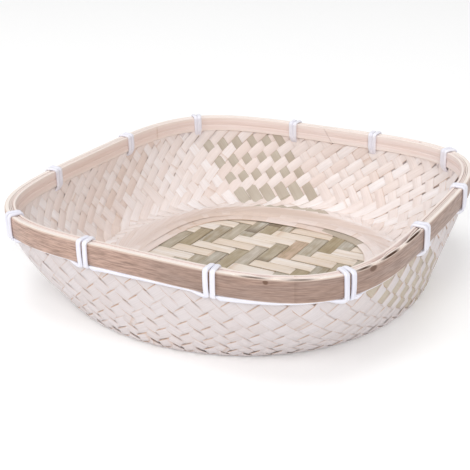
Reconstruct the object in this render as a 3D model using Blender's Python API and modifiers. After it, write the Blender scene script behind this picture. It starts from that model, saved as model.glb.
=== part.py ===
# Bamboo basket with a square rim and a round base, in metres, +Z up. The origin is the middle of
# the resting face, and X and Y run along the sides of the rim.
import math

import bmesh
import bpy
from mathutils import Vector

# Driving dimensions
rim_half_width = 0.150
basket_height = 0.0735
base_inset = 0.014
foot_bend = 0.0075
basket_thickness = 0.0010
lining_thickness = 0.0008
outer_hoop_height = 0.0153
outer_hoop_thickness = 0.0032
outer_hoop_edge_bevel = 0.0008
inner_hoop_height = 0.0124
inner_hoop_thickness = 0.0018
rim_splint_height = 0.0040
rim_splint_drop = 0.0004
floor_ring_width = 0.050
mat_overlap = 0.011
mat_splint_pitch = 0.012
mat_splint_width = 0.0108
mat_splint_thickness = 0.0006
cord_diameter = 0.0033
strand_pitch = 0.0041
run_tuck = 0.0006
cord_corner = 0.0030
run_point_spacing = 0.014
cord_tail = 0.012
hole_clearance = 0.0004
joint_gap = 0.0004
joint_slant = 0.008
fit_gap = 0.0003

# Shape numbers: exponents of the square outlines, the curve of the wall and the steps round
rim_squareness = 3.85
opening_squareness = 3.2
wall_sweep = 1.56
ring_steps = 80
corner_crowding_share = 0.35
wall_height_shares = (0.0, 0.35, 0.7)
foot_bend_shares = (1 / 2, 1.0)
mat_float = 3
mat_float_start = 0
wraps_per_tie = 2
outline_samples = 1440
probe_share = 1e-4

# Where the ties and the joints of the rim lie: shares of the way round from the middle of the +X side
tie_shares = (0.371, 0.451, 0.543, 0.641, 0.715, 0.803, 0.886, 0.971, 1.048, 1.138, 1.207, 1.279)
outer_hoop_joint_share = 0.325
inner_hoop_joint_share = 0.249
outer_splint_joint_share = 0.158
inner_splint_joint_share = 0.61

# Sizes that follow from the driving ones
base_radius = rim_half_width - base_inset
opening_half_width = base_radius - floor_ring_width
mat_half_width = opening_half_width + mat_overlap
hoop_inset = outer_hoop_thickness + fit_gap
lining_inset = basket_thickness + fit_gap
inner_hoop_inset = hoop_inset + lining_inset + lining_thickness + fit_gap
rim_thickness = inner_hoop_inset + inner_hoop_thickness
rim_splint_thickness = (inner_hoop_inset - hoop_inset - 2 * fit_gap) / 2
hoop_bottom = basket_height - outer_hoop_height
weave_top = basket_height - rim_splint_drop - rim_splint_height - fit_gap
mat_under = basket_thickness + fit_gap + mat_splint_thickness / 2
mat_over = mat_under + mat_splint_thickness + fit_gap
lining_floor = mat_over + mat_splint_thickness / 2 + fit_gap
cord_radius = cord_diameter / 2
strand_offset = cord_radius + fit_gap
strand_inside_offset = strand_offset + fit_gap
pass_height = hoop_bottom - strand_offset


for leftover in list(bpy.data.objects):
    bpy.data.objects.remove(leftover, do_unlink=True)

basket_collection = bpy.data.collections.new("zaru_basket")
cutter_collection = bpy.data.collections.new("cutters")
bpy.context.scene.collection.children.link(basket_collection)
bpy.context.scene.collection.children.link(cutter_collection)


def make_material(name, colour, roughness):
    material = bpy.data.materials.new(name)
    material.use_nodes = True
    shader = material.node_tree.nodes["Principled BSDF"]
    shader.inputs["Base Color"].default_value = (*colour, 1.0)
    shader.inputs["Roughness"].default_value = roughness
    shader.inputs["Metallic"].default_value = 0.0
    return material


plaited_bamboo = make_material("plaited_bamboo", (0.80, 0.69, 0.58), 0.55)
lining_bamboo = make_material("lining_bamboo", (0.84, 0.73, 0.62), 0.50)
bamboo_skin = make_material("bamboo_skin", (0.42, 0.29, 0.22), 0.45)
pale_splint = make_material("pale_splint", (0.76, 0.62, 0.50), 0.55)
cream_splint = make_material("cream_splint", (0.72, 0.62, 0.45), 0.50)
olive_splint = make_material("olive_splint", (0.40, 0.37, 0.24), 0.50)
white_cord = make_material("white_cord", (0.82, 0.81, 0.86), 0.30)


# Outlines

def square_outline(angle, half_width, squareness):
    # Point at this angle on a square with bulging sides and wide round corners.
    across, along = abs(math.cos(angle)), abs(math.sin(angle))
    reach = half_width / (across**squareness + along**squareness) ** (1 / squareness)
    return Vector((reach * math.cos(angle), reach * math.sin(angle), 0.0))


def rim_normal(angle):
    across, along = math.cos(angle), math.sin(angle)
    steep = rim_squareness - 1
    return Vector((
        math.copysign(abs(across) ** steep, across),
        math.copysign(abs(along) ** steep, along),
        0.0,
    )).normalized()


def rim_point(angle, inset=0.0):
    return square_outline(angle, rim_half_width, rim_squareness) - rim_normal(angle) * inset


def measure_rim():
    # Angle, length so far and turn so far, all the way round the rim.
    rows = []
    length = turn = 0.0
    before = rim_point(0.0)
    facing = rim_normal(0.0)
    for step in range(outline_samples + 1):
        angle = 2 * math.pi * step / outline_samples
        here, normal = rim_point(angle), rim_normal(angle)
        length += (here - before).length
        turn += facing.angle(normal, 0.0)
        rows.append((angle, length, turn))
        before, facing = here, normal
    return rows


rim_rows = measure_rim()
rim_length = rim_rows[-1][1]
rim_turn = rim_rows[-1][2]


def angle_where(measure, wanted):
    # Angle at which a growing measure of the rim reaches the wanted value.
    for before, after in zip(rim_rows, rim_rows[1:]):
        low, high = measure(before), measure(after)
        if high >= wanted:
            return before[0] + (after[0] - before[0]) * (wanted - low) / (high - low)
    return rim_rows[-1][0]


def rim_angle(share):
    # Angle at a share of the rim's length, counter-clockwise from the middle of the +X side.
    return angle_where(lambda row: row[1], (share % 1) * rim_length)


def corner_crowded(row):
    even = (1 - corner_crowding_share) * row[1] / rim_length
    return even + corner_crowding_share * row[2] / rim_turn


ring_angles = [angle_where(corner_crowded, step / ring_steps) for step in range(ring_steps)]


def wall_point(angle, share):
    # Outer face of the basket: share 0 is the hoop's lower edge and 1 the level of the resting face.
    top = rim_point(angle, hoop_inset)
    foot = top.normalized() * base_radius
    point = top.lerp(foot, max(share, 0.0) ** wall_sweep)
    point.z = hoop_bottom * (1 - share)
    return point


def wall_normal(angle, share):
    along = wall_point(angle + probe_share, share) - wall_point(angle - probe_share, share)
    down = wall_point(angle, share + probe_share) - wall_point(angle, share - probe_share)
    return down.cross(along).normalized()


def shell_column(angle, inset, floor_height):
    # Points down one line of a shell's outer face, through the bend at its foot to its floor.
    top_share = 1 - weave_top / hoop_bottom
    lining_bend_share = 1 - (lining_floor + foot_bend) / hoop_bottom
    bend_share = 1 - (floor_height + foot_bend) / hoop_bottom
    shares = [top_share] + [share * lining_bend_share for share in wall_height_shares]
    shares += sorted({lining_bend_share, bend_share})
    column = [wall_point(angle, share) - wall_normal(angle, share) * inset for share in shares]
    start = column[-1]
    heading = (start - column[-2]).normalized()
    corner = start + heading * ((floor_height - start.z) / heading.z)
    inward = Vector((-corner.x, -corner.y, 0.0)).normalized()
    end = corner + inward * (corner - start).length
    for share in foot_bend_shares:
        near, far = start.lerp(corner, share), corner.lerp(end, share)
        column.append(near.lerp(far, share))
    return column


# Building blocks

def skin(name, rows, material, thickness, offset, closed=False, floor=False):
    # A shell: an open surface through rows of points, given its thickness by Solidify.
    surface = bmesh.new()
    grid = [[surface.verts.new(point) for point in row] for row in rows]
    for upper, lower in zip(grid, grid[1:]):
        for here in range(len(upper) - (0 if closed else 1)):
            after = (here + 1) % len(upper)
            surface.faces.new((upper[here], lower[here], lower[after], upper[after]))
    if floor:
        surface.faces.new(reversed(grid[-1]))
    mesh = bpy.data.meshes.new(name)
    surface.to_mesh(mesh)
    surface.free()
    mesh.materials.append(material)
    piece = bpy.data.objects.new(name, mesh)
    basket_collection.objects.link(piece)
    solidify = piece.modifiers.new("Thickness", "SOLIDIFY")
    solidify.thickness = thickness
    solidify.offset = offset
    solidify.use_even_offset = True
    return piece


def shell(name, inset, floor_height, thickness, material, opening=None):
    # A plaited bowl. With an opening, its floor stops at that outline.
    columns = [shell_column(angle, inset, floor_height) for angle in ring_angles]
    if opening:
        for column in columns:
            edge = opening(math.atan2(column[-1].y, column[-1].x))
            edge.z = floor_height
            column.append(edge)
    rows = list(zip(*columns))
    return skin(name, rows, material, thickness, -1.0, closed=True, floor=opening is None)


def rim_band(name, inset, thickness, top, height, joint_share, material, slant=0.0):
    # A splint bent round the rim, with its two ends meeting at a joint that may be slanted.
    joint = rim_angle(joint_share)
    half_gap = joint_gap / 2 / rim_half_width
    lean = slant / 2 / rim_half_width
    inner_angles = sorted((angle - joint) % (2 * math.pi) for angle in ring_angles)
    margin = 2 * (half_gap + lean)
    inner_angles = [turn for turn in inner_angles if margin < turn < 2 * math.pi - margin]
    rows = []
    for level, shift in ((top, lean), (top - height, -lean)):
        turns = [half_gap + shift, *inner_angles, 2 * math.pi - half_gap + shift]
        row = [rim_point(joint + turn, inset) for turn in turns]
        rows.append([Vector((point.x, point.y, level)) for point in row])
    return skin(name, rows, material, thickness, -1.0)


# The two plaited shells

basket = shell("outer_basket", 0.0, 0.0, basket_thickness, plaited_bamboo)
lining = shell(
    "lining", lining_inset, lining_floor, lining_thickness, lining_bamboo,
    opening=lambda angle: square_outline(angle, opening_half_width, opening_squareness),
)

# The rim: two hoops and two thin splints that cover the top edge of the weave

outer_hoop = rim_band(
    "outer_hoop", 0.0, outer_hoop_thickness, basket_height, outer_hoop_height,
    outer_hoop_joint_share, bamboo_skin,
)
rounding = outer_hoop.modifiers.new("Rounded edges", "BEVEL")
rounding.width = outer_hoop_edge_bevel
rounding.segments = 1
rounding.limit_method = "ANGLE"

rim_band(
    "inner_hoop", inner_hoop_inset, inner_hoop_thickness, basket_height, inner_hoop_height,
    inner_hoop_joint_share, pale_splint, joint_slant,
)
rim_band(
    "rim_splint_outer", hoop_inset, rim_splint_thickness, basket_height - rim_splint_drop,
    rim_splint_height, outer_splint_joint_share, pale_splint,
)
rim_band(
    "rim_splint_inner", hoop_inset + rim_splint_thickness + fit_gap, rim_splint_thickness,
    basket_height - rim_splint_drop, rim_splint_height, inner_splint_joint_share, pale_splint,
)


# The mat of wide splints, which go over and under each other in a stepped twill

mat_count = int(2 * mat_half_width / mat_splint_pitch)


def mat_place(index):
    return (index - (mat_count - 1) / 2) * mat_splint_pitch


def x_splint_is_over(row, column):
    return (column - row + mat_float_start) % (2 * mat_float) < mat_float


def mat_reach(edge):
    # Half the length of the mat's outline, a little larger than the opening's, this far off its middle.
    steep = opening_squareness
    return (mat_half_width**steep - edge**steep) ** (1 / steep)


def mat_stations(reach, is_over):
    # Places along a splint and its height there. It changes level in the gap between two crossings,
    # and it ends half a pitch past the last crossing that the mat's outline holds.
    half_width = mat_splint_width / 2
    crossed = [index for index in range(mat_count) if abs(mat_place(index)) + half_width < reach]
    heights = [mat_over if is_over(index) else mat_under for index in crossed]
    half_length = mat_place(crossed[-1]) + mat_splint_pitch / 2
    stations = [(-half_length, heights[0])]
    for index, height, after in zip(crossed, heights, heights[1:]):
        if height != after:
            stations.append((mat_place(index) + mat_splint_width / 2, height))
            stations.append((mat_place(index + 1) - mat_splint_width / 2, after))
    stations.append((half_length, heights[-1]))
    return stations


def mat_splint(name, index, along_x, material):
    half_width = mat_splint_width / 2
    place = mat_place(index)
    reach = mat_reach(abs(place) + half_width)
    rows = []
    for edge in (place - half_width, place + half_width):
        if along_x:
            stations = mat_stations(reach, lambda column: x_splint_is_over(index, column))
            rows.append([Vector((along, edge, height)) for along, height in stations])
        else:
            stations = mat_stations(reach, lambda row: not x_splint_is_over(row, index))
            rows.append([Vector((edge, along, height)) for along, height in stations])
    skin(name, rows, material, mat_splint_thickness, 0.0)


for index in range(mat_count):
    mat_splint(f"mat_splint_x_{index + 1:02d}", index, True, cream_splint)
    mat_splint(f"mat_splint_y_{index + 1:02d}", index, False, olive_splint)


# The lashing cord: one cord that wraps the rim at each tie and runs on under the outer hoop

def tie_frame(share):
    # The point on the outer hoop's face at a share of the rim, with its directions along and out.
    angle = rim_angle(share)
    outward = rim_normal(angle)
    return rim_point(angle), Vector((0.0, 0.0, 1.0)).cross(outward), outward


def in_frame(frame, along, out, height):
    origin, tangent, outward = frame
    return origin + tangent * along + outward * out + Vector((0.0, 0.0, height))


def tie_corners(share):
    # Corners of the wraps at one tie. Each wrap moves one pitch along as it passes under the rim.
    frame = tie_frame(share)
    inside = -rim_thickness - strand_inside_offset
    crest = basket_height + strand_offset
    inner_bend = basket_height - inner_hoop_height - strand_offset / 2
    corners = [in_frame(frame, -strand_pitch / 2 - cord_diameter, -run_tuck, pass_height)]
    for wrap in range(wraps_per_tie):
        along = (wrap - 0.5) * strand_pitch
        corners.append(in_frame(frame, along, strand_offset, pass_height))
        corners.append(in_frame(frame, along, strand_offset, crest))
        corners.append(in_frame(frame, along, inside, crest))
        corners.append(in_frame(frame, along, inside, inner_bend))
        corners.append(in_frame(frame, along, inside + cord_radius, pass_height))
    corners.append(in_frame(frame, along + strand_pitch, -run_tuck, pass_height))
    corners.append(in_frame(frame, along + strand_pitch + cord_diameter, -run_tuck, pass_height))
    return corners


def run_points(start_share, end_share):
    # The cord under the outer hoop between two shares of the rim, ends left out.
    count = max(1, round((end_share - start_share) * rim_length / run_point_spacing))
    points = []
    for step in range(1, count):
        share = start_share + (end_share - start_share) * step / count
        points.append(in_frame(tie_frame(share), 0.0, -run_tuck, pass_height))
    return points


def cord_corners():
    reach = (strand_pitch * wraps_per_tie + cord_diameter) / rim_length
    tail = cord_tail / rim_length
    corners = [in_frame(tie_frame(tie_shares[0] - reach - tail), 0.0, -run_tuck, pass_height)]
    for share, after in zip(tie_shares, (*tie_shares[1:], None)):
        corners += tie_corners(share)
        if after:
            corners += run_points(share + reach, after - reach)
    corners.append(in_frame(tie_frame(tie_shares[-1] + reach + tail), 0.0, -run_tuck, pass_height))
    return corners


def rounded(corners, reach):
    # Each corner becomes a short bend, with a point about every 30 degrees.
    points = [corners[0]]
    for before, corner, after in zip(corners, corners[1:], corners[2:]):
        back, ahead = before - corner, after - corner
        turn = math.pi - back.angle(ahead)
        count = round(turn / math.radians(30))
        if count < 1:
            points.append(corner)
            continue
        start = corner + back.normalized() * min(reach, back.length / 2)
        end = corner + ahead.normalized() * min(reach, ahead.length / 2)
        for step in range(count + 1):
            share = step / count
            points.append(start.lerp(corner, share).lerp(corner.lerp(end, share), share))
    points.append(corners[-1])
    kept = [here for here, after in zip(points, points[1:]) if (after - here).length > fit_gap]
    return kept + points[-1:]


def least_self_gap(points):
    # Least gap between stretches of the cord that lie more than a loop's side apart along it.
    samples = []
    travelled = 0.0
    for here, after in zip(points, points[1:]):
        count = max(1, round((after - here).length / cord_radius))
        for step in range(count):
            place = travelled + (after - here).length * step / count
            samples.append((place, here.lerp(after, step / count)))
        travelled += (after - here).length
    near_by = rim_thickness + outer_hoop_height
    window = int(4 * (rim_thickness + outer_hoop_height) / cord_radius) + ring_steps
    gap = rim_length
    for index, (place, point) in enumerate(samples):
        for other_place, other in samples[index + 1 : index + window]:
            if other_place - place > near_by:
                gap = min(gap, (other - point).length - cord_diameter)
    return gap


cord_points = rounded(cord_corners(), cord_corner)
cord_curve = bpy.data.curves.new("lashing_cord", "CURVE")
cord_curve.dimensions = "3D"
cord_curve.bevel_depth = cord_radius
cord_curve.bevel_resolution = 1
cord_curve.use_fill_caps = True
cord_spline = cord_curve.splines.new("POLY")
cord_spline.points.add(len(cord_points) - 1)
for spline_point, place in zip(cord_spline.points, cord_points):
    spline_point.co = (*place, 1.0)
cord_curve.materials.append(white_cord)
basket_collection.objects.link(bpy.data.objects.new("lashing_cord", cord_curve))

cord_length = sum((after - here).length for here, after in zip(cord_points, cord_points[1:]))
print(f"lashing_cord: {cord_length:.3f} m, least gap to itself {least_self_gap(cord_points) * 1000:.2f} mm")


# The slots in both shells that the cord passes through, under the rim at each tie

def slot_corner(frame, back_side, out_side, up_side):
    middle = strand_pitch * wraps_per_tie / 4
    half_length = strand_pitch * wraps_per_tie / 2 + cord_radius + hole_clearance
    half_depth = hoop_inset + lining_inset
    half_height = cord_radius + hole_clearance
    return in_frame(
        frame, middle - back_side * half_length, -hoop_inset + out_side * half_depth,
        pass_height + up_side * half_height,
    )


slots = bmesh.new()
for share in tie_shares:
    frame = tie_frame(share)
    box = bmesh.ops.create_cube(slots, size=2.0)["verts"]
    for corner in box:
        corner.co = slot_corner(frame, corner.co.x, corner.co.y, corner.co.z)
slot_mesh = bpy.data.meshes.new("cord_slots")
slots.to_mesh(slot_mesh)
slots.free()
slot_cutter = bpy.data.objects.new("cord_slots", slot_mesh)
slot_cutter.hide_render = True
slot_cutter.display_type = "WIRE"
cutter_collection.objects.link(slot_cutter)

for piece in (basket, lining):
    cut = piece.modifiers.new("Cord slots", "BOOLEAN")
    cut.operation = "DIFFERENCE"
    cut.solver = "EXACT"
    cut.object = slot_cutter
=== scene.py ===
import math

import bpy
import numpy as np
from mathutils import Matrix, Vector


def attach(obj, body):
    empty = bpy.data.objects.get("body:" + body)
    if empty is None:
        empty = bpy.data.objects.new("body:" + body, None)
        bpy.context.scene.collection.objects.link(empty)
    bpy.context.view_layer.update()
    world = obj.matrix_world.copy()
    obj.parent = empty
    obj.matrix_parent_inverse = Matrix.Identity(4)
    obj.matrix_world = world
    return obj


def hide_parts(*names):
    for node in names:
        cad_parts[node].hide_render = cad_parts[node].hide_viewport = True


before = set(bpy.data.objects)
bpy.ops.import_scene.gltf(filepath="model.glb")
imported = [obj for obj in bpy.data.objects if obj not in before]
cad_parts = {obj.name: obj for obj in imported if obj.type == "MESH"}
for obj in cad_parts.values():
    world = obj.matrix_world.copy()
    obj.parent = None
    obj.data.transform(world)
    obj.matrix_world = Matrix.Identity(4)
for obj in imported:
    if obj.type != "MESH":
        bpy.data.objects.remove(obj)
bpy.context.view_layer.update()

chance = np.random.default_rng(11)

# The basket's form, the same as the CAD's, in metres. Heights and insets are of the outer faces.
form = {
    "rimHalfWidth": 0.15, "rimSquareness": 3.85, "height": 0.0735, "hoopBottom": 0.0582,
    "innerHoopBottom": 0.0611, "hoopInset": 0.0035, "innerHoopInset": 0.0059, "rimThickness": 0.0077,
    "baseRadius": 0.136, "wallSweep": 1.56, "footBend": 0.0075, "openingHalfWidth": 0.086, "openingSquareness": 3.2,
}


# Materials

def srgb(hexCode):
    parts = [int(hexCode[place:place + 2], 16) / 255 for place in (1, 3, 5)]
    return (*[part / 12.92 if part <= 0.04045 else ((part + 0.055) / 1.055) ** 2.4 for part in parts], 1.0)


def fillNode(tree, node, settings, links):
    for name, value in settings.items():
        if isinstance(name, int) or name in node.inputs:
            node.inputs[name].default_value = value
        else:
            setattr(node, name, value)
    for name, source in links.items():
        tree.links.new(source, node.inputs[name])


def addNode(tree, kind, settings=None, links=None, stops=None):
    # One node with its settings, its input links and, for a colour ramp, its stops
    node = tree.nodes.new("ShaderNode" + kind)
    fillNode(tree, node, settings or {}, links or {})
    for number, (position, colour) in enumerate(stops or []):
        ramp = node.color_ramp.elements
        stop = ramp[number] if number < 2 else ramp.new(position)
        stop.position = position
        stop.color = srgb(colour) if isinstance(colour, str) else (colour, colour, colour, 1.0)
    return node


def startMaterial(name):
    material = bpy.data.materials.new(name)
    material.use_nodes = True
    return material, material.node_tree, material.node_tree.nodes["Principled BSDF"]


def noise(tree, place, length, width, detail, roughness):
    # Patches of this length along the piece and this width across it
    scaled = addNode(tree, "VectorMath", {"operation": "MULTIPLY", 1: (1 / length, 1 / width, 1)}, {0: place})
    settings = {"Scale": 1.0, "Detail": detail, "Roughness": roughness}
    return addNode(tree, "TexNoise", settings, {"Vector": scaled.outputs[0]}).outputs[0]


def bambooMaterial(name, look):
    # Split bamboo: straight fibres along the splint, soft clouds of tone, a darker ring where the cane
    # had a node, and tan edges, partly bare wood where it was split and partly painted shade in the seams
    # between splints. Every splint has its own tint.
    material, tree, shader = startMaterial(name)
    place = addNode(tree, "Attribute", {"attribute_name": "splintPlace"}).outputs["Vector"]
    tone = addNode(tree, "Attribute", {"attribute_name": "splintTone"}).outputs["Fac"]
    edge = addNode(tree, "Attribute", {"attribute_name": "splintEdge"}).outputs["Fac"]

    def ranged(source, low, high, least, most):
        return addNode(tree, "MapRange", {1: low, 2: high, 3: least, 4: most}, {0: source}).outputs[0]

    def tinted(colour, share, tint):
        return addNode(tree, "Mix", {"data_type": "RGBA", 7: srgb(tint)}, {0: share, 6: colour}).outputs[2]

    cloud = noise(tree, place, look["cloudLength"], look["cloudWidth"], 2.0, 0.5)
    fibre = noise(tree, place, look["fibreLength"], look["fibreWidth"], 3.0, 0.6)
    colour = addNode(tree, "ValToRGB", links={0: tone}, stops=look["tints"]).outputs[0]
    colour = tinted(colour, ranged(cloud, 0.36, 0.72, 0.0, look["cloud"]), look["cloudTint"])
    colour = tinted(colour, ranged(fibre, 0.38, 0.75, 0.0, look["fibre"]), look["fibreTint"])

    # The cane's rings come at another place on each splint
    parts = addNode(tree, "SeparateXYZ", links={0: place}).outputs
    alongCane = addNode(tree, "Math", {"operation": "MULTIPLY_ADD", 1: 1 / look["ringSpacing"]},
                        {0: parts[0], 2: parts[2]})
    turn = addNode(tree, "Math", {"operation": "FRACT"}, {0: alongCane.outputs[0]})
    ring = ranged(turn.outputs[0], look["ringLength"] / look["ringSpacing"], 0.0, 0.0, look["ring"])
    colour = tinted(colour, ring, look["ringTint"])
    # Tan edges: partly bare split wood, partly painted shade in the seams between splints
    edgeShare = addNode(tree, "Math", {"operation": "MULTIPLY", 1: look["edge"]}, {0: edge})
    colour = tinted(colour, edgeShare.outputs[0], look["edgeTint"])

    # Dark spots with a ragged edge: scars where twigs were cut off, and painted shade down in a crack
    for spotAlong, spotAcross, length, height in look["spots"]:
        away = addNode(tree, "VectorMath", {"operation": "SUBTRACT", 1: (spotAlong, spotAcross, 0)}, {0: place})
        scaled = addNode(tree, "VectorMath", {"operation": "MULTIPLY", 1: (2 / length, 2 / height, 0)},
                         {0: away.outputs[0]})
        distance = addNode(tree, "VectorMath", {"operation": "LENGTH"}, {0: scaled.outputs[0]})
        ragged = addNode(tree, "Math", {"operation": "MULTIPLY_ADD", 1: 1.2},
                         {0: fibre, 2: distance.outputs["Value"]})
        colour = tinted(colour, ranged(ragged.outputs[0], 1.7, 1.3, 0.0, 1.0), look["scarAndCrackShadeTint"])

    gloss = ranged(fibre, 0.3, 0.8, look["roughness"] - 0.06, look["roughness"] + 0.12)
    relief = addNode(tree, "Bump", {"Strength": look["relief"], "Distance": 0.0004}, {"Height": fibre})
    fillNode(tree, shader, {"IOR": 1.5, "Sheen Weight": 0.08},
             {"Base Color": colour, "Roughness": gloss, "Normal": relief.outputs[0]})
    return material


# Lengths and widths are in metres. The other looks change only what differs from this one.
paleLook = {
    "tints": [(0.0, "#DAC5B8"), (0.15, "#EADBD5"), (0.35, "#F0E6E3"), (0.65, "#F4EDEC"), (1.0, "#F8F4F5")],
    "cloud": 0.35, "cloudTint": "#ECDCD2", "cloudLength": 0.026, "cloudWidth": 0.0055,
    "fibre": 0.3, "fibreTint": "#D6C3B8", "fibreLength": 0.07, "fibreWidth": 0.001,
    "ring": 0.45, "ringTint": "#C4A184", "ringLength": 0.0028, "ringSpacing": 0.23,
    "edge": 1.0, "edgeTint": "#CFA27C", "spots": (), "scarAndCrackShadeTint": "#6F5140",
    "roughness": 0.46, "relief": 0.25,
}
liningBamboo = bambooMaterial("planedBambooSplint", paleLook)
outerBamboo = bambooMaterial("drySplitBambooSplint", paleLook | {
    "tints": [(0.0, "#D9CFCE"), (0.5, "#DDD5D5"), (1.0, "#E2DBDD")],
    "cloud": 0.3, "cloudTint": "#D8CBC6", "fibre": 0.4, "fibreTint": "#C4B8B6", "fibreWidth": 0.0008,
    # Strong tan edges: partly bare wood, partly painted shade in the seams
    "edge": 1.7, "edgeTint": "#BE9069", "roughness": 0.55,
})
oliveLook = paleLook | {
    "tints": [(0.0, "#B9AA9B"), (0.4, "#BFB3A4"), (0.75, "#C4BAAC"), (1.0, "#CAC2B3")],
    "cloudTint": "#B0A391", "fibreTint": "#A79A89", "edgeTint": "#A08E70", "ringTint": "#8D7C62",
}
oliveBamboo = bambooMaterial("greenSkinBambooSplint", oliveLook)
dryOliveBamboo = bambooMaterial("dryGreenSkinBambooSplint", oliveLook | {
    "tints": [(0.0, "#BCAD9B"), (0.5, "#C8BAA8"), (1.0, "#D0C4B2")], "fibreTint": "#B0A18E", "edgeTint": "#A87E56",
})
hoopSkin = bambooMaterial("agedBambooSkin", paleLook | {
    "tints": [(0.0, "#9F877B"), (0.4, "#AB9185"), (0.8, "#C2A294"), (1.0, "#CCAB9C")],
    "cloud": 0.5, "cloudTint": "#BE9A86", "cloudLength": 0.04,
    "fibre": 1.0, "fibreTint": "#80675B", "fibreLength": 0.012, "ring": 0.3, "ringTint": "#7A6053",
    "edgeTint": "#E9D6C8", "spots": ((0.9502, 0.0134, 0.0068, 0.0042), (0.88, 0.0131, 0.004, 0.0027)),
    "roughness": 0.42, "relief": 0.3,
})
# Cracks in the outer hoop's top edge at the front: where along the rim and how long, m
cracks = ((0.872, 0.022), (0.9, 0.024), (0.944, 0.018), (0.971, 0.025), (1.004, 0.024))
hoopWood = bambooMaterial("splitBambooInside", paleLook | {
    "tints": [(0.0, "#EAD4CA"), (0.5, "#F3E5E2"), (1.0, "#F7EEEE")],
    "cloud": 0.5, "cloudTint": "#EDD5CA", "cloudLength": 0.08,
    "fibre": 0.4, "fibreTint": "#D9BCAC", "fibreWidth": 0.0013,
    # Painted shade: the dark tint down in each crack in the outer hoop's top edge
    "edgeTint": "#F5EAE2", "spots": [(along, 0.0167, length, 0.0019) for along, length in cracks],
})
creamSplint = bambooMaterial("wideCreamSplint", paleLook | {
    "tints": [(0.0, "#E3D2C4"), (0.4, "#EBDFD4"), (0.7, "#F0E7DF"), (1.0, "#F4EDE8")],
    "cloud": 0.5, "cloudTint": "#E0CAAA", "fibre": 0.45, "fibreTint": "#C4AC8C",
    "ring": 0.5, "ringLength": 0.005, "edgeTint": "#B79C78", "fibreWidth": 0.0016,
})
oliveSplint = bambooMaterial("wideOliveSplint", paleLook | {
    "tints": [(0.0, "#A79879"), (0.25, "#B6A990"), (0.5, "#C3BAAA"), (0.75, "#C8C4BB"), (1.0, "#D4B9A4")],
    "cloud": 0.8, "cloudTint": "#968363", "cloudLength": 0.015, "fibre": 0.55, "fibreTint": "#84734F",
    "ring": 0.9, "ringTint": "#665440", "ringLength": 0.012, "edgeTint": "#8A7654", "fibreWidth": 0.0016,
})


def cordMaterial():
    # Extruded polypropylene strap: white with a cool cast, glossy, with faint ribs along it
    material, tree, shader = startMaterial("whitePolypropyleneCord")
    place = addNode(tree, "Attribute", {"attribute_name": "splintPlace"}).outputs["Vector"]
    ribs = noise(tree, place, 0.02, 0.0006, 1.0, 0.5)
    colour = addNode(tree, "ValToRGB", links={0: ribs}, stops=[(0.3, "#E4E3F0"), (0.7, "#F6F5FB")])
    relief = addNode(tree, "Bump", {"Strength": 0.2, "Distance": 0.0002}, {"Height": ribs})
    fillNode(tree, shader, {"Roughness": 0.28, "IOR": 1.49},
             {"Base Color": colour.outputs[0], "Normal": relief.outputs[0]})
    return material


whiteCord = cordMaterial()
print("materials made")


# The basket's surfaces

def unit(vectors):
    return vectors / np.linalg.norm(vectors, axis=-1, keepdims=True)


def lengthsAlong(points):
    # How far each point of a row lies from the row's first, along the row
    steps = np.linalg.norm(np.diff(points, axis=-2), axis=-1)
    return np.concatenate([np.zeros((*steps.shape[:-1], 1)), np.cumsum(steps, axis=-1)], -1)


def direction(angle):
    return np.stack([np.cos(angle), np.sin(angle)], -1)


def squareLength(vectors, squareness):
    # Length by the measure in which a square with rounded corners is a circle
    return (np.abs(vectors) ** squareness).sum(-1) ** (1 / squareness)


def rimNormal(angle):
    ways = direction(angle)
    return unit(np.sign(ways) * np.abs(ways) ** (form["rimSquareness"] - 1))


def rimPoint(angle, inset):
    reach = form["rimHalfWidth"] / squareLength(direction(angle), form["rimSquareness"])
    return direction(angle) * reach[..., None] - rimNormal(angle) * np.reshape(inset, (-1, 1))


tableAngle = np.linspace(0, 2 * math.pi, 2881)
tableLength = lengthsAlong(rimPoint(tableAngle, 0.0))
rimLength = tableLength[-1]


def rimAngle(share):
    return np.interp(share % 1, tableLength / rimLength, tableAngle)


def rimShare(angle):
    return np.interp(angle % (2 * math.pi), tableAngle, tableLength / rimLength)


# The tables of the layers' surfaces: columns round the rim, how far in the floor's rows go, and how much
# of the floor counts as 1 in depth, m
columnCount = 720
floorSpan = 0.118
floorUnit = 0.065


def surfaceNormals(points):
    aroundStep = np.roll(points, -1, 0) - np.roll(points, 1, 0)
    return unit(np.cross(np.gradient(points, axis=1), aroundStep))


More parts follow.
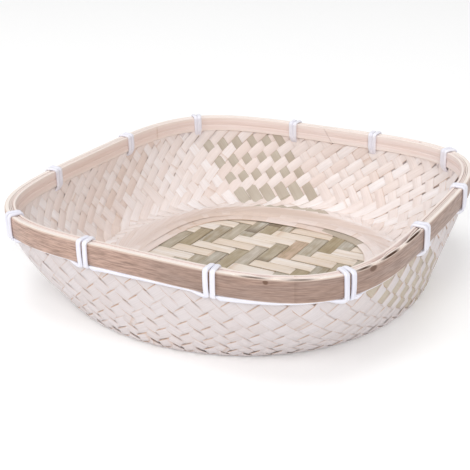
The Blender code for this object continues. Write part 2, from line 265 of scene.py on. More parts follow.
def makeSurface(inset, floorHeight):
    # Points and outward normals of a plaited layer's middle surface, on a table of the share of the rim
    # (columns) and the depth (rows): 0 under the outer hoop, 1 where the floor starts, then inward.
    angle = rimAngle(np.arange(columnCount) / columnCount)
    lowest = 1 - (floorHeight + form["footBend"]) / form["hoopBottom"]
    share = np.linspace(-0.26, lowest, 120)
    blend = np.maximum(share, 0)[None, :, None] ** form["wallSweep"]
    top = rimPoint(angle, form["hoopInset"])
    foot = unit(top) * form["baseRadius"]
    flat = top[:, None] * (1 - blend) + foot[:, None] * blend
    height = np.broadcast_to(form["hoopBottom"] * (1 - share), flat.shape[:2])
    points = np.concatenate([flat, height[..., None]], -1)
    points = points - surfaceNormals(points) * inset

    # A curved bend from the wall to the floor, then the floor
    start = points[:, -1]
    heading = unit(start - points[:, -2])
    corner = start + heading * ((floorHeight - start[:, 2]) / heading[:, 2])[:, None]
    inward = -unit(corner * (1, 1, 0))
    end = corner + inward * np.linalg.norm(corner - start, axis=1)[:, None]
    step = np.linspace(0, 1, 16)[None, 1:, None]
    near = start[:, None] + (corner - start)[:, None] * step
    far = corner[:, None] + (end - corner)[:, None] * step
    bend = near + (far - near) * step
    flatFloor = end[:, None] + inward[:, None] * np.linspace(0, floorSpan, 60)[None, 1:, None]
    wallRows = points.shape[1] + bend.shape[1]
    points = np.concatenate([points, bend, flatFloor], 1)

    travel = lengthsAlong(points)
    travel -= np.array([np.interp(0.0, share, row[:len(share)]) for row in travel])[:, None]
    wallLength = travel[:, wallRows - 1]
    depth = travel / wallLength[:, None]
    depth = np.where(depth > 1, 1 + (travel - wallLength[:, None]) / floorUnit, depth)
    rows = np.linspace(-0.16, 2.7, 460)
    table = np.stack([[np.interp(rows, depth[line], points[line, :, axis]) for axis in range(3)]
                      for line in range(columnCount)])
    table = np.moveaxis(table, 1, 2)
    around = np.linalg.norm(np.roll(table, -1, 0) - table, axis=2).sum(0)
    return {"rows": rows, "points": table, "normals": surfaceNormals(table), "around": around,
            "wall": wallLength.mean(), "floorRadius": np.linalg.norm(end[:, :2], axis=1).mean()}


def readSurface(surface, share, depth):
    # The surface's points and normals between the table's lines
    rows = surface["rows"]
    column = (share % 1) * columnCount
    line = np.clip((depth - rows[0]) / (rows[1] - rows[0]), 0, len(rows) - 1.001)
    left, above = np.floor(column).astype(int), np.floor(line).astype(int)
    right = (left + 1) % columnCount
    left = left % columnCount
    across, down = (column % 1)[..., None], (line - above)[..., None]
    found = []
    for table in (surface["points"], surface["normals"]):
        upper = table[left, above] * (1 - across) + table[right, above] * across
        lower = table[left, above + 1] * (1 - across) + table[right, above + 1] * across
        found.append(upper * (1 - down) + lower * down)
    return found[0], unit(found[1])


# Building splints

def addObject(name, data):
    added = bpy.data.objects.new(name, data)
    bpy.context.scene.collection.objects.link(added)
    return added


class Plait:
    # Collects splints and becomes one mesh, with the place on the splint, its tone and its edges.
    def __init__(self):
        self.points, self.faces, self.place, self.tone, self.edge, self.materials = [], [], [], [], [], []
        self.count = 0

    def add(self, loops, along, across, edge, tone, mark, material=0):
        # loops is (stations, loop points, 3): a tube of flat section with closed ends
        stations, size = loops.shape[:2]
        index = self.count + np.arange(stations * size).reshape(stations, size)
        after = np.roll(index, -1, 1)
        sides = np.stack([index[:-1], after[:-1], after[1:], index[1:]], -1).reshape(-1, 4)
        self.faces += sides.tolist() + [index[0, ::-1].tolist(), index[-1].tolist()]
        self.materials += [material] * (len(sides) + 2)
        self.points.append(loops.reshape(-1, 3))
        spot = np.zeros((stations, size, 3))
        spot[..., 0], spot[..., 1], spot[..., 2] = along[:, None], across, mark
        self.place.append(spot.reshape(-1, 3))
        self.tone.append(np.repeat(np.broadcast_to(tone, stations), size))
        self.edge.append(np.broadcast_to(edge, (stations, size)).reshape(-1))
        self.count += stations * size

    def build(self, name, materials, replaced, slot, sharpAngle=35):
        mesh = bpy.data.meshes.new(name)
        mesh.from_pydata(np.concatenate(self.points).tolist(), [], self.faces)
        for material in materials:
            mesh.materials.append(material)
        mesh.polygons.foreach_set("material_index", self.materials)
        for label, kind, field, values in (("splintPlace", "FLOAT_VECTOR", "vector", self.place),
                                           ("splintTone", "FLOAT", "value", self.tone),
                                           ("splintEdge", "FLOAT", "value", self.edge)):
            layer = mesh.attributes.new(label, kind, "POINT")
            layer.data.foreach_set(field, np.concatenate(values).astype(np.float32).ravel())
        mesh.shade_smooth()
        mesh.set_sharp_from_angle(angle=math.radians(sharpAngle))
        piece = addObject(name, mesh)
        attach(piece, "root")
        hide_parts(*replaced)
        print(name, len(mesh.vertices), "points")


def splintLoops(edgePoints, edgeNormals, level, thickness):
    # edgePoints is (stations, 4, 3), from edge to edge. Returns loops of six points.
    centre = edgePoints + edgeNormals * level[..., None]
    half = edgeNormals * thickness / 2
    order = [(0, 0), (1, 1), (2, 1), (3, 0), (2, -1), (1, -1)]
    return np.stack([centre[:, column] + half[:, column] * side for column, side in order], 1)


def acrossOf(width, bevel):
    # Where a section's four lanes and its six points lie across the splint
    half = width / 2
    lanes = np.stack([-half, -half + bevel, half - bevel, half], -1)
    return lanes, lanes[:, [0, 1, 2, 3, 2, 1]]


def edgesOf(left, right):
    # How much of the tan edge a section's two sides show: bare split wood, and painted seam shade that is stronger
    # on one side
    return np.array([left, 0.0, 0.0, right, 0.0, 0.0])


# The two plaited layers

def supportReach(angle):
    # Distance from the middle to the straight line that touches the floor's opening at this direction
    steep = form["openingSquareness"]
    return form["openingHalfWidth"] * squareLength(direction(angle), steep / (steep - 1))


def wallDrift(surface, family):
    # Share of the rim that a splint drifts by on its way down the wall
    rows = np.linspace(-0.15, 1.0, 400)
    around = np.interp(rows, surface["rows"], surface["around"])
    rate = family["slope"](rows, around) * surface["wall"] / around
    drift = np.concatenate([[0], np.cumsum((rate[1:] + rate[:-1]) / 2 * np.diff(rows))])
    return rows, drift - np.interp(0.0, rows, drift)


def smooth(value):
    value = np.clip(value, 0, 1)
    return value * value * (3 - 2 * value)


def floorLines(surface, family, turn, drift, starts):
    # The straight lines that splints take over the floor, which touch the outline of the opening. "foot"
    # is a line's point nearest the middle, and "chord" the length from where it starts to there.
    entry = rimAngle(starts + turn * drift[-1])
    reach = surface["floorRadius"]
    touch = entry
    for _ in range(8):
        distance = supportReach(touch) + family["setBack"] + family["floorWidth"] / 2
        touch = entry + turn * np.arccos(np.minimum(distance / reach, 1))
    outward = direction(touch)
    forward = turn * np.stack([-outward[:, 1], outward[:, 0]], -1)
    distance = reach * (outward * direction(entry)).sum(1)
    chord = np.sqrt(np.maximum(reach**2 - distance**2, 0))
    foot = outward * distance[:, None]
    return {"outward": outward, "forward": forward, "foot": foot, "distance": distance, "chord": chord}


def layFamily(surface, family, turn, drift):
    # Where each splint starts on the rim, its line over the floor, and the lines halfway to its neighbours
    count = family["count"]
    starts = (np.arange(count) + family["phase"] + chance.normal(0, family["wander"], count)) / count
    between = [floorLines(surface, family, turn, drift, starts + half / count) for half in (-0.5, 0.5)]
    return floorLines(surface, family, turn, drift, starts) | {"starts": starts, "between": between}


def ringShare(surface, spots):
    # 1 where the floor meets the wall, 0 at the edge of the opening
    radius = np.linalg.norm(spots, axis=-1)
    inner = form["openingHalfWidth"] / squareLength(unit(spots), form["openingSquareness"])
    return (radius - inner) / (surface["floorRadius"] - inner)


def floorMeetings(surface, mine, number, others, firstMeeting, turn):
    # How far along its line a splint meets each splint of the other family, as two rising lists
    start, ahead = mine["foot"][number], mine["forward"][number]
    along = (others["distance"] - others["outward"] @ start) / (others["outward"] @ ahead)
    spots = start + ahead * along[:, None]
    inside = np.linalg.norm(spots, axis=1) < surface["floorRadius"]
    met = np.flatnonzero(inside & (along < 0) & ((spots * others["forward"]).sum(1) < 0))
    count = len(others["distance"])
    places = firstMeeting - 2 + (met * turn - firstMeeting + 2) % count
    travelled = along[met] + mine["chord"][number]
    order = np.argsort(travelled)
    places, travelled = places[order], travelled[order]
    kept = places > firstMeeting
    return np.concatenate([[0], travelled[kept]]), np.concatenate([[firstMeeting], places[kept]])


def mitre(across, around, share):
    # Turns a section's direction towards the foot and lengthens it, so that the splint keeps its width
    around = around * np.sign((around * across).sum(1))[:, None]
    turned = unit(across * (1 - share)[:, None] + around * share[:, None])
    return turned / (turned * across).sum(1)[:, None]


def crossingMarks(first, last, step):
    # Each crossing between two places, and where the splint starts and ends its step to the next one
    marks = np.arange(math.ceil(first), math.floor(last) + 1)
    return np.concatenate([marks, marks + 0.5 - step, marks + 0.5 + step])


# How much the splints differ from one another in width, tone, edges and, round the opening, in tone
variety = {"width": 0.035, "tone": (0.15, 0.7), "edge": (0.25, 1), "fanTone": (-0.08, 0.08)}
# Where the sections start to turn in the bend at the foot: wall depth, and length on the floor, m
footTurn = {"wall": 0.93, "wallSpan": 0.07, "floor": 0.005}
# The wall depths between which the outer splints bulge in scallops above the foot
scallop = {"start": 0.72, "rise": 0.14, "end": 0.9, "fall": 0.07}


def plaitLayer(layer):
    plait = Plait()
    surface = makeSurface(layer["inset"], layer["floor"])
    families = layer["families"]
    turns = (layer["turn"], -layer["turn"])  # 1 drifts counter-clockwise on the way down
    drifts = [wallDrift(surface, family) for family in families]
    rows = drifts[0][0]
    closing = drifts[0][1] + drifts[1][1]
    laid = [layFamily(surface, family, turn, drift[1]) for family, turn, drift in zip(families, turns, drifts)]
    reach = surface["floorRadius"]

    for which, family in enumerate(families):
        other, turn, mine, others = families[1 - which], turns[which], laid[which], laid[1 - which]
        drift, edge = drifts[which][1], other["step"]
        for number in range(family["count"]):
            start = mine["starts"][number]
            width = family["width"] * (1 + chance.normal(0, variety["width"]))
            mark, edging = chance.random() * 10, chance.uniform(*variety["edge"])
            tone = chance.random() * variety["tone"][1] + variety["tone"][0]
            # Painted sheen: by where a splint starts on the rim, the first family is paler and the second darker on
            # the left wall, the other way round on the right, as the two ways of the fibre catch the light
            tone += family["tone"] * math.cos(2 * math.pi * (start - 0.5))
            outward, forward, foot, chord = [mine[key][number] for key in ("outward", "forward", "foot", "chord")]
            # Round the opening the splints are tan on the far side and paler elsewhere
            fanTone = 0.35 + 0.22 * outward[0] - 0.28 * outward[1] + chance.uniform(*variety["fanTone"])
            fanTone = max(fanTone, 0.0)

            # Stations on the wall: where the splint passes over or under, and more in the bend
            meeting = turn * (other["count"] * (start + turn * closing) - other["phase"])
            wanted = crossingMarks(meeting[0] + 1, meeting[-1], edge)
            stations = np.interp(wanted[wanted < meeting[-1]], meeting, rows)
            stations = np.unique(np.concatenate([[rows[0]], stations, np.linspace(0.82, 1.0, 8)]))
            wallPlace = np.interp(stations, rows, meeting)

            # Stations on the floor, as far as both families are plaited, then along the plain line
            floorAlong, floorPlaces = floorMeetings(surface, mine, number, others, meeting[-1], turn)
            wanted = crossingMarks(meeting[-1], floorPlaces[-1], edge)
            woven = np.interp(wanted[wanted > meeting[-1]], floorPlaces, floorAlong)
            plain = np.linspace(0.0005, chord + family["tail"], layer["floorStations"])
            travelled = np.unique(np.round(np.concatenate([woven, plain]), 5))
            travelled = travelled[travelled < chord + family["tail"] + 1e-6]
            centre = foot + forward * (travelled - chord)[:, None]
            share = ringShare(surface, centre)
            fan = smooth((layer["fanStart"] - share) / (layer["fanStart"] - layer["fanEnd"]))
            floorPlace = np.interp(travelled, floorAlong, floorPlaces)

            def level(position):
                # 1 where this splint passes on the visible side of the one that it meets there, else -1
                met = position * turn
                first, second = (number, met) if which == 0 else (met, number)
                gap = layer["turn"] * ((second + families[1]["phase"]) / families[1]["count"]
                                       - (first + families[0]["phase"]) / families[0]["count"])
                depth = np.interp(gap, closing, rows)
                spot = np.interp(position, floorPlaces, floorAlong)
                spots = foot + forward * (spot - chord)[:, None]
                depth = np.where(position > meeting[-1], 2 - ringShare(surface, spots), depth)
                isFirstOver = layer["rule"](first, second, depth)
                return np.where(isFirstOver, 1.0, -1.0) * (1 if which == 0 else -1)

            place = np.concatenate([wallPlace, floorPlace])
            nearest = np.round(place)
            offset = place - nearest
            here, beside = level(nearest), level(nearest + np.where(offset >= 0, 1, -1))
            height = here + (beside - here) * 0.5 * smooth((np.abs(offset) - 0.5 + edge) / edge)
            top = 1.0 if which == layer["onTop"] else -1.0
            allFan = np.concatenate([np.zeros(len(stations)), fan])
            height = height * (1 - allFan) + top * allFan

            # The way on the wall, and how far apart neighbours are there
            path = start + turn * np.interp(stations, rows, drift)
            step = 1e-3
            here, normal = readSurface(surface, path, stations)
            behind = start + turn * np.interp(stations - step, rows, drift)
            heading = unit(here - readSurface(surface, behind, stations - step)[0])
            sideways = np.cross(normal, heading)
            byShare = readSurface(surface, path + step, stations)[0] - here
            byDepth = readSurface(surface, path, stations + step)[0] - here
            wallRoom = np.abs((byShare * sideways).sum(1)) / step / family["count"]
            floorRoom = sum(np.abs(centre @ line["outward"][number] - line["distance"][number])
                            for line in mine["between"])

            # Widths: never wider than the room between neighbours, until they fan out over one another
            spread = 1 + family["spread"] * smooth((stations - 0.5) / 0.25)
            wallWidth = np.minimum(width * spread, layer["room"] * wallRoom)
            floorWidth = np.minimum(width * (1 + family["spread"]), layer["room"] * floorRoom)
            floorWidth = floorWidth * (1 - fan) + family["floorWidth"] * fan
            wallLanes, wallSection = acrossOf(wallWidth, layer["bevel"])
            floorLanes, floorSection = acrossOf(floorWidth, layer["bevel"])

            # Lanes on the wall are laid off on the surface, and lanes on the floor in plan. At the foot
            # both lie along it, so that the bend leaves no notch.
            wallWay = mitre(sideways, unit(byShare), smooth((stations - footTurn["wall"]) / footTurn["wallSpan"]))
            sharePull = (wallWay * unit(byShare)).sum(1) / np.linalg.norm(byShare, axis=1) * step
            depthPull = (wallWay * unit(byDepth)).sum(1) / np.linalg.norm(byDepth, axis=1) * step
            ringWay = unit(np.stack([-centre[:, 1], centre[:, 0]], -1))
            floorTurn = smooth(1 - travelled / footTurn["floor"])
            floorWay = mitre(np.broadcast_to(-outward * turn, centre.shape), ringWay, floorTurn)
            floorSpots = centre[:, None] + floorWay[:, None] * floorLanes[..., None]
            floorShare = rimShare(np.arctan2(floorSpots[..., 1], floorSpots[..., 0]))
            floorShare += np.round(path[-1] - floorShare)
            laneShare = np.concatenate([path[:, None] + wallLanes * sharePull[:, None], floorShare])
            laneDepth = np.concatenate([stations[:, None] + wallLanes * depthPull[:, None],
                                        1 + (reach - np.linalg.norm(floorSpots, axis=2)) / floorUnit])

            # Levels over the surface: the weave, the crown of each splint, the scallops above the foot,
            # and the tilt of the fan
            levels = np.repeat(height[:, None] * layer["lift"], 4, 1)
            levels[:, 1:3] += layer["crown"]
            bulge = smooth((stations - scallop["start"]) / scallop["rise"])
            bulge *= 1 - smooth((stations - scallop["end"]) / scallop["fall"])
            levels[:len(stations)] += (layer["bulge"] * bulge * np.maximum(height[:len(stations)], 0))[:, None]
            tilt = np.tan(math.radians(layer["fanTilt"]) * fan)[:, None] * floorLanes * -turn
            dive = np.maximum(travelled - chord, 0) / family["tail"] * family["tailDrop"]
            levels[len(stations):] += tilt + (fan * family["fanLift"] - dive)[:, None]
            edgePoints, edgeNormals = readSurface(surface, laneShare, laneDepth)
            loops = splintLoops(edgePoints, edgeNormals * layer["side"], levels, layer["thickness"])
            across = np.concatenate([wallSection, floorSection])
            plait.add(loops, lengthsAlong(edgePoints.mean(1)), across, edgesOf(*family["edges"]) * edging,
                      tone + (fanTone - tone) * allFan, mark, 1 if number in family["olive"] else 0)
    return plait


# Depths at which the plain weave turns into twill and both families into a fan, and how far the first
# change shifts from one crossing to the next
weave = {"twill": 0.68, "shift": 0.11, "liningFan": 1.25, "outerFan": 1.4}


def liningRule(first, second, depth):
    # Plain weave under the rim, then a two-by-two twill, until the second family fans out over the
    # first. The change steps up and down with the splints, four crossings at a time.
    step = second - first
    banded = depth + (step % 4 - 1.5) * weave["shift"]
    return np.where(banded < weave["twill"], step % 2 == 1, (step % 4 >= 2) & (depth < weave["liningFan"]))


def outerRule(first, second, depth):
    return ((first + second) % 2 == 1) | (depth > weave["outerFan"])


def outerSlope(depth, around):
    # The splints would run level at this radius, m. Under the foot they turn in again.
    levelRadius = 0.122
    lean = np.minimum(levelRadius / (around / (2 * math.pi)), 0.93)
    flat = lean / np.sqrt(1 - lean**2)
    turned = smooth((depth - 0.9) / 0.1)
    return flat * (1 - turned) + 0.9 * turned


# Lengths in metres. "lift" is half the step between over and under, "room" the most of the room between
# neighbours that a splint takes, "setBack" how far its line over the floor lies from the opening and
# "tail" how far it runs on past it. "olive" lists the splints with green skin.
# A family's "tone" paints a sheen: one family paler and the other darker, swapping from the left wall to the right
liningSplints = {
    "inset": 0.0017, "floor": 0.0035, "side": -1, "turn": -1, "lift": 0.00027, "crown": 0.00007, "bulge": 0.0,
    "thickness": 0.00036, "bevel": 0.0004, "floorStations": 20, "room": 1.03,
    "rule": liningRule, "onTop": 1, "fanStart": 0.85, "fanEnd": 0.55, "fanTilt": 5.5,
    "families": [
        {"count": 66, "phase": 0.53, "width": 0.008, "wander": 0.035,
         "step": 0.16, "olive": range(19, 25), "setBack": -0.004, "floorWidth": 0.0092, "tail": 0.024,
         "fanLift": 0.0007, "tailDrop": 0.0007, "tone": 0.15, "spread": 0.2,
         "edges": (1.0, 0.35), "slope": lambda depth, around: 0.68 - 0.1 * depth},
        {"count": 82, "phase": -0.18, "width": 0.0082, "wander": 0.03,
         "step": 0.11, "olive": (), "setBack": 0.003, "floorWidth": 0.0076, "tail": 0.02,
         "fanLift": 0.0013, "tailDrop": 0.0009, "tone": -0.15, "spread": 0.0,
         "edges": (1.0, 0.35), "slope": lambda depth, around: 1.12 - 0.2 * depth},
    ],
}
outerFamily = {"count": 58, "width": 0.0121, "wander": 0.02, "step": 0.08, "setBack": 0.0, "tailDrop": 0.0,
               "tone": 0.0, "spread": 0.0, "slope": outerSlope}
outerSplints = {
    "inset": 0.0005, "floor": 0.0006, "side": 1, "turn": 1, "lift": 0.00033, "crown": 0.0001, "bulge": 0.0006,
    "thickness": 0.00042, "bevel": 0.0008, "floorStations": 16, "room": 0.99,
    "rule": outerRule, "onTop": 0, "fanStart": 0.62, "fanEnd": 0.35, "fanTilt": 0.8,
    "families": [
        outerFamily | {"phase": 0.68, "olive": range(52, 57), "floorWidth": 0.01, "tail": 0.02,
                       "fanLift": -0.0002, "edges": (1.0, 0.3)},
        outerFamily | {"phase": 0.15, "olive": (), "floorWidth": 0.009, "tail": 0.01, "fanLift": 0.0,
                       "edges": (0.8, 0.2)},
    ],
}

plaitLayer(liningSplints).build("liningSplints", [liningBamboo, oliveBamboo], ["lining"], "lining_bamboo")
plaitLayer(outerSplints).build("outerSplints", [outerBamboo, dryOliveBamboo], ["outer_basket"], "plaited_bamboo")


# The floor mat: wide splints, over three and under three

mat = {
    "pitch": 0.012, "width": 0.0116, "thickness": 0.0006, "bevel": 0.0004, "count": 16, "float": 3,
    "halfWidth": 0.097, "crossingHalf": 0.0054, "under": 0.0016, "over": 0.0025, "step": 0.09,
    "creamTones": (0.8, 0.3, 0.9, 0.6, 0.2, 0.9, 0.7, 1.0, 0.5, 0.9, 0.3, 0.8, 1.0, 0.6, 0.2, 0.7),
    "oliveTones": (0.3, 0.5, 0.2, 0.6, 0.5, 0.7, 0.3, 0.8, 0.4, 1.0, 0.6, 0.1, 0.75, 0.3, 0.6, 0.4),
}


def matSplint(index, alongX):
    pitch, step, steep, way = mat["pitch"], mat["step"], form["openingSquareness"], 1 if alongX else -1
    spots = (np.arange(mat["count"]) - (mat["count"] - 1) / 2) * pitch
    place = spots[index]
    # It ends half a pitch past the last crossing that the mat's outline holds
    reach = (mat["halfWidth"] ** steep - (abs(place) + mat["crossingHalf"]) ** steep) ** (1 / steep)
    crossed = np.flatnonzero(np.abs(spots) + mat["crossingHalf"] < reach)
    overs = ((crossed - index) * way % (2 * mat["float"]) < mat["float"]) == alongX
    lengths, heights = [spots[crossed[0]] - pitch / 2], [overs[0]]
    for spot, here, after in zip(crossed, overs, overs[1:]):
        lengths += [spots[spot], spots[spot] + pitch * (0.5 - step), spots[spot] + pitch * (0.5 + step)]
        heights += [here, here, after]
    lengths = np.array([*lengths, spots[crossed[-1]], spots[crossed[-1]] + pitch / 2])
    heights += [overs[-1], overs[-1]]
    level = np.where(heights, mat["over"], mat["under"]) + chance.normal(0, 0.00003)
    wander = 0.0004 * np.sin(lengths / 0.05 + chance.random() * 6)
    width = mat["width"] * (1 + 0.03 * np.sin(lengths / 0.07 + chance.random() * 6))
    lanes, section = acrossOf(width, mat["bevel"])
    edgePoints = np.zeros((len(lengths), 4, 3))
    edgePoints[..., 0 if alongX else 1] = lengths[:, None]
    edgePoints[..., 1 if alongX else 0] = (place + wander)[:, None] + lanes * way
    edgePoints[..., 2] = level[:, None]
    normals = np.broadcast_to((0.0, 0.0, 1.0), edgePoints.shape)
    loops = splintLoops(edgePoints, normals, np.zeros((len(lengths), 4)), mat["thickness"])
    tone = mat["creamTones" if alongX else "oliveTones"][index]
    splint = Plait()
    splint.add(loops, lengths, section, edgesOf(1.0, 1.0), tone, chance.random() * 10)
    material, slot, letter = (creamSplint, "cream_splint", "x") if alongX else (oliveSplint, "olive_splint", "y")
    number = f"{index + 1:02d}"
    splint.build(f"matSplint{letter.upper()}{number}", [material], [f"mat_splint_{letter}_{number}"], slot)


for index in range(mat["count"]):
    matSplint(index, True)
    matSplint(index, False)


# The rim: hoops and thin splints bent round it, each with a joint

jointGap = 0.0004  # between a band's two ends, m


def wave(shares, amplitude, turns, seed):
    # A slow waver round the rim that closes on itself
    return amplitude * sum(np.sin(2 * math.pi * shares * count + seed * (count + 1)) / math.sqrt(count)
                           for count in turns)


def buildBand(name, band, materials, replaced, slot):
    # Its profile is a list of shares of its thickness, inward, and of its height, upward
    half = jointGap / 2 / rimLength
    shares = np.linspace(band["joint"] + half, band["joint"] + 1 - half, band["stations"])
    top = band["top"] + wave(shares, band["heightWave"], (3, 7, 13), band["joint"] * 9)
    for place, rise, reach in band.get("rises", ()):
        top = top + rise * np.exp(-(((shares - place) / reach) ** 2))
    bottom = band["bottom"] + wave(shares, band["heightWave"], (2, 5, 11), band["joint"] * 7)
    outerInset = band["inset"] + wave(shares, band["insetWave"], (5, 9, 17), band["joint"] * 5)
    # A slanted joint shifts the ends up and down along the rim
    lean = band.get("slant", 0) / rimLength
    slanting = np.exp(-np.minimum(shares - shares[0], shares[-1] - shares) / (3 * max(lean, half)))
    loops = []
    for inShare, upShare in band["profile"]:
        angle = rimAngle(shares + lean * (upShare - 0.5) * slanting)
        flat = rimPoint(angle, outerInset + band["thickness"] * inShare)
        loops.append(np.concatenate([flat, (bottom + (top - bottom) * upShare)[:, None]], 1))
    loops = np.stack(loops, 1)
    for column, depth in band.get("crackDepths", ()):
        for place, length in cracks:
            loops[:, column, 2] -= depth * np.exp(-(((shares * rimLength - place) / (length / 2)) ** 4))
    across = np.array(band["profile"]) @ (band["thickness"], band["top"] - band["bottom"])
    strip = Plait()
    tone = np.interp(shares % 1, *zip(*band["tones"]), period=1)
    strip.add(loops, shares * rimLength, across, np.array(band["edges"]), tone, band["mark"])
    if len(materials) > 1:
        # The profile's first faces have the cane's skin, and the others and both ends are bare wood
        sides = np.arange(len(strip.faces) - 2) % len(band["profile"])
        strip.materials = (sides >= band["skinFaces"]).astype(int).tolist() + [1, 1]
    strip.build(name, materials, replaced, slot, sharpAngle=40)


outerHoop = {
    "inset": 0.0, "thickness": 0.0032, "top": form["height"], "bottom": form["hoopBottom"], "joint": 0.325,
    "stations": 420, "heightWave": 0.00012, "insetWave": 0.0001, "mark": 3.1,
    "tones": ((0.0, 0.4), (0.3, 0.6), (0.5, 0.8), (0.62, 1.0), (0.7, 1.0), (0.745, 0.85), (0.76, 0.65),
              (0.785, 0.2), (0.87, 0.35)),
    # How far these points of the profile sink in a crack: its bottom and its lip
    "crackDepths": ((15, 0.0026), (16, 0.0009), (0, 0.0005)), "skinFaces": 7,
    "profile": [(0.24, 1.0), (0.08, 0.985), (0.0, 0.93), (-0.05, 0.75), (-0.07, 0.5), (-0.05, 0.25), (0.0, 0.07),
                (0.1, 0.015), (0.3, 0.0), (0.92, 0.0), (1.0, 0.02), (1.0, 0.5), (1.0, 0.98), (0.92, 1.0),
                (0.66, 1.0), (0.6, 1.0), (0.3, 1.0)],
    "edges": [1, 0.7, 0, 0, 0, 0, 0, 0.5, 1, 1, 1, 1, 1, 1, 1, 1, 1],
}
buildBand("outerHoop", outerHoop, [hoopSkin, hoopWood], ["outer_hoop"], "bamboo_skin")

innerHoop = {
    "inset": form["innerHoopInset"], "thickness": 0.0018, "top": form["height"], "bottom": form["innerHoopBottom"],
    "joint": 0.249, "slant": 0.008, "stations": 420, "heightWave": 0.00015, "insetWave": 0.00006, "mark": 7.1,
    "tones": ((0.15, 0.7), (0.5, 0.1), (0.8, 0.5)),
    "profile": [(0.8, 1.0), (1.0, 0.97), (1.05, 0.7), (1.0, 0.44), (0.93, 0.42), (1.0, 0.4), (1.04, 0.3),
                (1.0, 0.03), (0.8, 0.0), (0.0, 0.0), (0.0, 1.0)],
    "edges": [1, 0.6, 0, 0, 0.4, 0, 0, 0.6, 1, 0, 0],
}
buildBand("innerHoop", innerHoop, [hoopWood], ["inner_hoop"], "pale_splint")

thinSplint = {
    "thickness": 0.0009, "top": form["height"] - 0.0003, "bottom": 0.0691, "stations": 360,
    "heightWave": 0.0002, "insetWave": 0.0001, "edges": [0.3, 0.6, 0.6, 0.3, 0, 0],
    "profile": [(0.0, 0.93), (0.3, 1.0), (0.7, 1.0), (1.0, 0.93), (1.0, 0.0), (0.0, 0.0)],
}
# "rises" lists where a thin splint's top rises or sinks, how far, and over what share of the rim
rimSplintOuter = thinSplint | {
    "inset": 0.0035, "joint": 0.168, "tones": ((0.0, 0.7),), "mark": 3.5,
    "rises": ((0.838, -0.0024, 0.004), (0.853, -0.0024, 0.003), (0.917, -0.003, 0.007),
              (0.95, -0.0034, 0.01), (0.968, -0.0032, 0.004), (0.172, 0.0011, 0.02)),
}
rimSplintInner = thinSplint | {
    "inset": 0.0047, "joint": 0.61, "tones": ((0.0, 0.3),), "mark": 1.5,
    "rises": ((0.838, -0.0026, 0.004), (0.918, -0.003, 0.006), (0.95, -0.0036, 0.009)),
}
buildBand("rimSplintOuter", rimSplintOuter, [hoopWood], ["rim_splint_outer"], "pale_splint")
buildBand("rimSplintInner", rimSplintInner, [hoopWood], ["rim_splint_inner"], "pale_splint")


# The lashing cord: two wraps at each tie, and a run along the hoop's lower edge to the next

cord = {
    "halfWidth": 0.0018, "halfThickness": 0.001, "topPitch": 0.0049, "lowPitch": 0.0044, "inPitch": 0.0034,
    "holePitch": 0.0016, "reach": 0.0022, "pass": 0.0566, "crestPitch": 0.0037, "tieReach": 0.0062,
    "holeDepth": 0.0062, "runStep": 0.008, "tail": 0.012, "sides": 12, "leastStep": 0.00012,
    # How far the run is drawn in under the hoop at most, and its share after each tie and before the next
    "tuckDepth": 0.0023, "tuckRise": 0.0009,
    "tucks": ((1, 1), (1, 1), (1, 1), (1, 0.9), (0.1, 0.6), (0.0, 1.0), (0.8, 1), (0.9, 1), (1, 1), (1, 1), (1, 1)),
    "ties": (0.373, 0.453, 0.545, 0.642, 0.715, 0.806, 0.889, 0.975, 1.053, 1.138, 1.209, 1.281),
}


def tieSpot(share, along, out, height):
    flat = rimPoint(rimAngle(share + along / rimLength), -out)[0]
    return np.array((*flat, height))


def tieDirection(share, out, rise):
    return np.array((*(rimNormal(rimAngle(share)) * out), rise))


def tieCorners(share):
    half, low = cord["halfThickness"], cord["pass"]
    inside = -form["rimThickness"] - half - 0.0001
    crest = form["height"] + half
    # Place along the rim, out of it and in height, and which way the broad side faces: outward and up
    first, last = [(way * cord["tieReach"], half - 0.0008, low, 1, -0.4) for way in (-1, 1)]
    corners = [first]
    for wrap in (-0.5, 0.5):
        corners += [
            (wrap * cord["lowPitch"], half - 0.0002, low - 0.0002, 0.7, -0.7),
            (wrap * cord["lowPitch"], half + 0.0002, form["hoopBottom"] + 0.002, 1, 0),
            (wrap * cord["topPitch"], half + 0.0003, 0.066, 1, 0),
            (wrap * cord["topPitch"], half, crest, 0.7, 0.7),
            (wrap * cord["crestPitch"], inside, crest, -0.7, 0.7),
            (wrap * cord["inPitch"], inside, form["innerHoopBottom"] + 0.001, -1, 0),
            (wrap * cord["holePitch"], -cord["holeDepth"], low + 0.0006, -0.7, -0.7),
            (wrap * cord["holePitch"] + 0.001, -0.003, low - 0.0004, 0, -1),
        ]
    return [(tieSpot(share, along, out, height), tieDirection(share, facing, rise), 1.0)
            for along, out, height, facing, rise in [*corners, last]]


def runCorners(start, end, tucks):
    # The run stands on edge where it shows, and lies flat and thin under the hoop where it is tucked in
    count = max(2, round((end - start) * rimLength / cord["runStep"]))
    spots = []
    for step in range(1, count):
        share = start + (end - start) * step / count
        tuck = tucks[0] + (tucks[1] - tucks[0]) * step / count
        place = tieSpot(share, 0, -cord["tuckDepth"] * tuck, cord["pass"] + 0.0002 + cord["tuckRise"] * tuck)
        spots.append((place, tieDirection(share, 1 - 0.9 * tuck, -0.35 - 0.65 * tuck), 1 - 0.6 * tuck))
    return spots


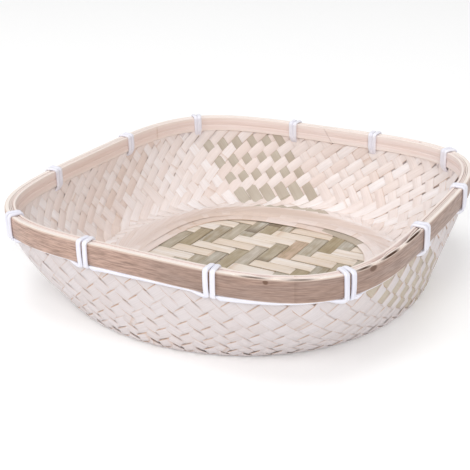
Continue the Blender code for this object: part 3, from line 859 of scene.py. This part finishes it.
def roundCorners(route):
    # Points with a curve at each corner, the way the broad side faces there, and how much of the cord's
    # thickness is left where it is pressed flat
    points, facings, presses = [route[0][0]], [route[0][1]], [1.0]
    for (before, *_), (corner, facing, press), (after, *_) in zip(route, route[1:], route[2:]):
        back, ahead = before - corner, after - corner
        start = corner + unit(back) * min(cord["reach"], np.linalg.norm(back) * 0.49)
        end = corner + unit(ahead) * min(cord["reach"], np.linalg.norm(ahead) * 0.49)
        bend = math.acos(np.clip(-(unit(back) @ unit(ahead)), -1, 1))
        for step in np.linspace(0, 1, 2 + round(bend / math.radians(14))):
            near, far = start * (1 - step) + corner * step, corner * (1 - step) + end * step
            points.append(near * (1 - step) + far * step)
            facings.append(facing)
            presses.append(press)
    last, facing, _ = route[-1]
    points, facings, presses = np.array([*points, last]), np.array([*facings, facing]), np.array([*presses, 1.0])
    apart = np.concatenate([[True], np.linalg.norm(np.diff(points, axis=0), axis=1) > cord["leastStep"]])
    return points[apart], facings[apart], presses[apart]


tieReach, tail = cord["tieReach"] / rimLength, cord["tail"] / rimLength
first, last = cord["ties"][0], cord["ties"][-1]
route = [(tieSpot(first - tail, 0, 0, cord["pass"]), tieDirection(first, 1, -0.35), 1.0)]
for share, after, tucks in zip(cord["ties"], (*cord["ties"][1:], None), (*cord["tucks"], None)):
    route += tieCorners(share)
    if after:
        route += runCorners(share + tieReach, after - tieReach, tucks)
route.append((tieSpot(last + tail, 0, 0, cord["pass"]), tieDirection(last, 1, -0.35), 1.0))
points, facings, presses = roundCorners(route)
for _ in range(4):
    facings[1:-1] = (facings[:-2] + 2 * facings[1:-1] + facings[2:]) / 4
heading = unit(np.gradient(points, axis=0))
facings = unit(facings - heading * (facings * heading).sum(1)[:, None])
sideways = np.cross(heading, facings)
ways = direction(np.linspace(0, 2 * math.pi, cord["sides"], endpoint=False))
flatX, flatY = (np.sign(ways) * np.abs(ways) ** 0.75 * (cord["halfWidth"], cord["halfThickness"])).T
widths, heights = flatX * (0.4 + 0.6 * presses)[:, None], flatY * presses[:, None]
loops = points[:, None] + sideways[:, None] * widths[..., None] + facings[:, None] * heights[..., None]
along = lengthsAlong(points)
lashing = Plait()
lashing.add(loops[:, ::-1], along, flatX[::-1], np.zeros(cord["sides"]), 0.5, 0.0)
lashing.build("lashingCord", [whiteCord], ["lashing_cord"], "white_cord", sharpAngle=60)
print("cord", round(along[-1], 3), "m")


# The floor, the light and the camera

studio = {
    "floorHalf": 1.7, "ambient": 0.46, "aim": (0, 0, 0.03),
    # Place, size and power
    "lamps": {"keyLamp": ((-2.4, -3.0, 1.8), 2.0, 47.0), "fillLamp": ((2.6, -2.6, 2.2), 2.0, 62.0),
              "topLamp": ((-0.3, -0.2, 4.0), 2.4, 44.0)},
}

paper, tree, shader = startMaterial("whitePaperFloor")
# The camera alone sees the paper a little whiter, so that its far parts meet the white background
seen = addNode(tree, "LightPath").outputs["Is Camera Ray"]
whiter = addNode(tree, "MapRange", {3: 0.0, 4: 0.1}, {0: seen})
fillNode(tree, shader, {"Base Color": srgb("#FFFFFF"), "Roughness": 0.9, "Specular IOR Level": 0.1,
                        "Emission Color": (1, 1, 1, 1)}, {"Emission Strength": whiter.outputs[0]})
mesh = bpy.data.meshes.new("studioFloor")
size = studio["floorHalf"]
mesh.from_pydata([(-size, -size, 0), (size, -size, 0), (size, size, 0), (-size, size, 0)], [], [(0, 1, 2, 3)])
mesh.materials.append(paper)
addObject("studioFloor", mesh)

world = bpy.data.worlds.new("studio")
bpy.context.scene.world = world
world.use_nodes = True
sky = world.node_tree
# White where the camera or a reflection meets it, and dimmer as a light
path = addNode(sky, "LightPath").outputs
seen = addNode(sky, "Math", {"operation": "MAXIMUM"}, {0: path["Is Camera Ray"], 1: path["Is Glossy Ray"]})
brightness = addNode(sky, "MapRange", {3: studio["ambient"], 4: 1.0}, {0: seen.outputs[0]})
fillNode(sky, sky.nodes["Background"], {"Color": (1, 1, 1, 1)}, {"Strength": brightness.outputs[0]})

for name, (place, size, power) in studio["lamps"].items():
    lamp = bpy.data.lights.new(name, "AREA")
    lamp.shape, lamp.size, lamp.energy = "DISK", size, power
    lampObject = addObject(name, lamp)
    lampObject.location = place
    lampObject.rotation_euler = (Vector(studio["aim"]) - Vector(place)).to_track_quat("-Z", "Y").to_euler()

# Angles in radians, distance from the middle of the rim's plane in metres, lens in mm
view = {"azimuth": 0.51964, "elevation": 0.35053, "roll": -0.0202, "distance": 0.72223, "yaw": -0.01258,
        "pitch": -0.05735, "lens": 73.82}


def addCamera():
    azimuth, elevation = view["azimuth"], view["elevation"]
    level = math.cos(elevation)
    back = Vector((math.sin(azimuth) * level, -math.cos(azimuth) * level, math.sin(elevation)))
    right = (-back).cross(Vector((0, 0, 1))).normalized()
    upward = right.cross(-back)
    forward = (-back + right * math.tan(view["yaw"]) + upward * math.tan(view["pitch"])).normalized()
    right = forward.cross(upward).normalized()
    upward = right.cross(forward)
    lean, tip = math.cos(view["roll"]), math.sin(view["roll"])
    turned, raised = right * lean + upward * tip, upward * lean - right * tip
    camera = bpy.data.cameras.new("camera")
    camera.lens, camera.sensor_width, camera.clip_start = view["lens"], 36, 0.01
    cameraObject = addObject("camera", camera)
    place = Vector((0, 0, form["height"])) + back * view["distance"]
    facing = Matrix((turned, raised, -forward)).transposed().to_4x4()
    cameraObject.matrix_world = Matrix.Translation(place) @ facing
    bpy.context.scene.camera = cameraObject


addCamera()
bpy.context.scene.view_settings.view_transform = "Standard"
print("floor, light and camera made")
